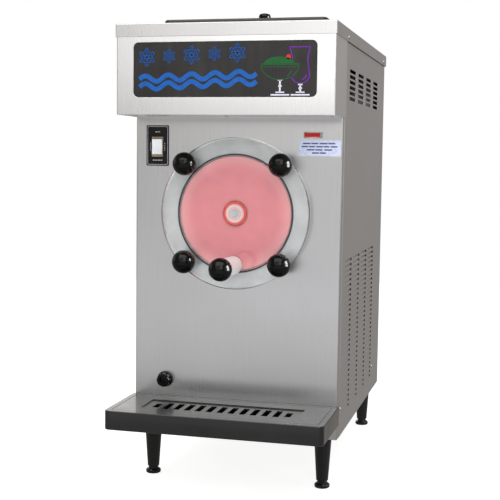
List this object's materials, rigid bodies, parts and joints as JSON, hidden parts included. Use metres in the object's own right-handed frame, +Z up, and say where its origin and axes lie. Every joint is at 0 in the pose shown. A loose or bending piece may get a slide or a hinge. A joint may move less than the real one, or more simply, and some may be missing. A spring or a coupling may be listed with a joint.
{
  "type": "frozen drink machine",
  "caption": "Countertop frozen drink machine: brushed steel cabinet with sign header, clear round door over a freezing barrel, pull valve, hopper lid and drip tray.",
  "frame": {"origin": "on the floor under the middle of the whole machine", "axes": "+Z up, -Y out of the front, +X to the right seen from the front"},
  "size_m": [0.4164, 0.7434, 0.9305],
  "materials": {
    "stainless_sheet": "vertical brushed grain, satin",
    "galvanised_sheet": "galvanised, dull",
    "stainless_turned": "turned, satin",
    "painted_steel": "black paint, semi-gloss",
    "black_phenolic": "glossy",
    "black_moulding": "fine moulded texture",
    "leg_plastic": "glossy",
    "clear_acrylic": "clear, polished",
    "white_acetal": "satin",
    "black_rubber": "matte",
    "sign_acrylic": "printed, smooth",
    "lamp_glass": "frosted",
    "pink_ice": "smooth frozen drink",
    "chrome_trim": "polished",
    "red_lens": "translucent red",
    "tan_plastic": "smooth",
    "white_plastic": "smooth",
    "black_plate": "smooth with a silver border",
    "copper_tube": "drawn copper",
    "white_foam": "foam",
    "aluminium_fins": "mill",
    "cast_aluminium": "cast",
    "zinc_screw": "bright",
    "tank_steel": "polished inside"
  },
  "bodies": {
    "cabinet": {"base_pan": "galvanised_sheet", "frame": "painted_steel", "legs": "leg_plastic", "front_panel": "stainless_sheet", "right_side_panel": "stainless_sheet", "left_side_panel": "stainless_sheet", "rear_panel": "stainless_sheet", "cable_gland": "black_moulding", "header_shroud": "stainless_sheet", "sign_panel": "sign_acrylic", "sign_lamp": "lamp_glass", "top_cap": "stainless_sheet", "hopper": "tank_steel", "feed_neck": "tank_steel", "barrel": "stainless_turned", "barrel_insulation": "white_foam", "frozen_drink": "pink_ice", "door_studs": "zinc_screw", "rear_bearing": "cast_aluminium", "drive_belt": "black_rubber", "gear_motor": "painted_steel", "motor_mount": "galvanised_sheet", "compressor": "painted_steel", "condenser": "aluminium_fins", "fan_shroud": "galvanised_sheet", "fan_motor": "cast_aluminium", "refrigerant_lines": "copper_tube", "control_box": "galvanised_sheet", "switch_plate": "black_plate", "switch_bezel": "tan_plastic", "pilot_bezel": "chrome_trim", "pilot_lens": "red_lens", "tray_brackets": "galvanised_sheet", "case_screws": "zinc_screw"},
    "door": {"door": "clear_acrylic", "door_seal": "black_rubber", "front_bearing": "white_acetal", "valve_body": "white_acetal"},
    "door_knob_lower_left": {"door_knob_lower_left": "black_phenolic"},
    "door_knob_upper_left": {"door_knob_upper_left": "black_phenolic"},
    "door_knob_lower_right": {"door_knob_lower_right": "black_phenolic"},
    "door_knob_upper_right": {"door_knob_upper_right": "black_phenolic"},
    "plunger": {"valve_plunger": "white_acetal", "plunger_knob": "black_phenolic"},
    "beater": {"beater_shaft": "stainless_turned", "beater_frame": "stainless_turned", "scraper_blades": "white_acetal", "driven_pulley": "cast_aluminium"},
    "motor_rotor": {"motor_pulley": "cast_aluminium"},
    "fan": {"fan_blade": "aluminium_fins"},
    "lid": {"hopper_lid": "black_moulding", "lid_knob": "black_phenolic"},
    "tray": {"drip_tray": "black_moulding"},
    "grid": {"drip_grid": "black_moulding"},
    "rocker": {"rocker": "white_plastic"},
    "adjuster": {"adjust_knob": "black_phenolic"},
    "foot_front_left": {"foot_front_left": "leg_plastic"},
    "foot_rear_left": {"foot_rear_left": "leg_plastic"},
    "foot_front_right": {"foot_front_right": "leg_plastic"},
    "foot_rear_right": {"foot_rear_right": "leg_plastic"}
  },
  "joints": [
    {"name": "door_pull", "type": "slide", "parent": "cabinet", "child": "door", "axis": [0, -1, 0], "range_m": [0, 0.09]},
    {"name": "knob_turn_lower_left", "type": "hinge", "parent": "door", "child": "door_knob_lower_left", "pos_m": [-0.0933, -0.24775, 0.4332], "axis": [0, -1, 0], "range_deg": [0, 1440]},
    {"name": "knob_turn_upper_left", "type": "hinge", "parent": "door", "child": "door_knob_upper_left", "pos_m": [-0.0933, -0.24775, 0.6198], "axis": [0, -1, 0], "range_deg": [0, 1440]},
    {"name": "knob_turn_lower_right", "type": "hinge", "parent": "door", "child": "door_knob_lower_right", "pos_m": [0.0933, -0.24775, 0.4332], "axis": [0, -1, 0], "range_deg": [0, 1440]},
    {"name": "knob_turn_upper_right", "type": "hinge", "parent": "door", "child": "door_knob_upper_right", "pos_m": [0.0933, -0.24775, 0.6198], "axis": [0, -1, 0], "range_deg": [0, 1440]},
    {"name": "valve_pull", "type": "slide", "parent": "door", "child": "plunger", "axis": [0, -1, 0], "range_m": [0, 0.022]},
    {"name": "beater_spin", "type": "hinge", "parent": "cabinet", "child": "beater", "pos_m": [0, -0.01175, 0.5265], "axis": [0, 1, 0], "continuous": true},
    {"name": "motor_spin", "type": "hinge", "parent": "cabinet", "child": "motor_rotor", "pos_m": [0.105, 0.22925, 0.3], "axis": [0, 1, 0], "continuous": true},
    {"name": "fan_spin", "type": "hinge", "parent": "cabinet", "child": "fan", "pos_m": [0, -0.09475, 0.231], "axis": [0, 1, 0], "continuous": true},
    {"name": "lid_lift", "type": "slide", "parent": "cabinet", "child": "lid", "axis": [0, 0, 1], "range_m": [0, 0.15]},
    {"name": "tray_slide", "type": "slide", "parent": "cabinet", "child": "tray", "axis": [0, -1, 0], "range_m": [0, 0.13]},
    {"name": "grid_lift", "type": "slide", "parent": "tray", "child": "grid", "axis": [0, 0, 1], "range_m": [0, 0.015]},
    {"name": "rocker_tilt", "type": "hinge", "parent": "cabinet", "child": "rocker", "pos_m": [-0.1589, -0.21225, 0.6519], "axis": [1, 0, 0], "range_deg": [-12, 12]},
    {"name": "adjuster_turn", "type": "hinge", "parent": "cabinet", "child": "adjuster", "pos_m": [-0.14, -0.22175, 0.197], "axis": [0, -1, 0], "range_deg": [-135, 135]},
    {"name": "foot_turn_front_left", "type": "hinge", "parent": "cabinet", "child": "foot_front_left", "pos_m": [-0.1724, -0.18855, 0.02], "axis": [0, 0, 1], "range_deg": [0, 1440]},
    {"name": "foot_turn_rear_left", "type": "hinge", "parent": "cabinet", "child": "foot_rear_left", "pos_m": [-0.1724, 0.32735, 0.02], "axis": [0, 0, 1], "range_deg": [0, 1440]},
    {"name": "foot_turn_front_right", "type": "hinge", "parent": "cabinet", "child": "foot_front_right", "pos_m": [0.1724, -0.18855, 0.02], "axis": [0, 0, 1], "range_deg": [0, 1440]},
    {"name": "foot_turn_rear_right", "type": "hinge", "parent": "cabinet", "child": "foot_rear_right", "pos_m": [0.1724, 0.32735, 0.02], "axis": [0, 0, 1], "range_deg": [0, 1440]}
  ],
  "couplings": [
    {"joint": "motor_spin", "follows": "beater_spin", "ratio": 3}
  ]
}
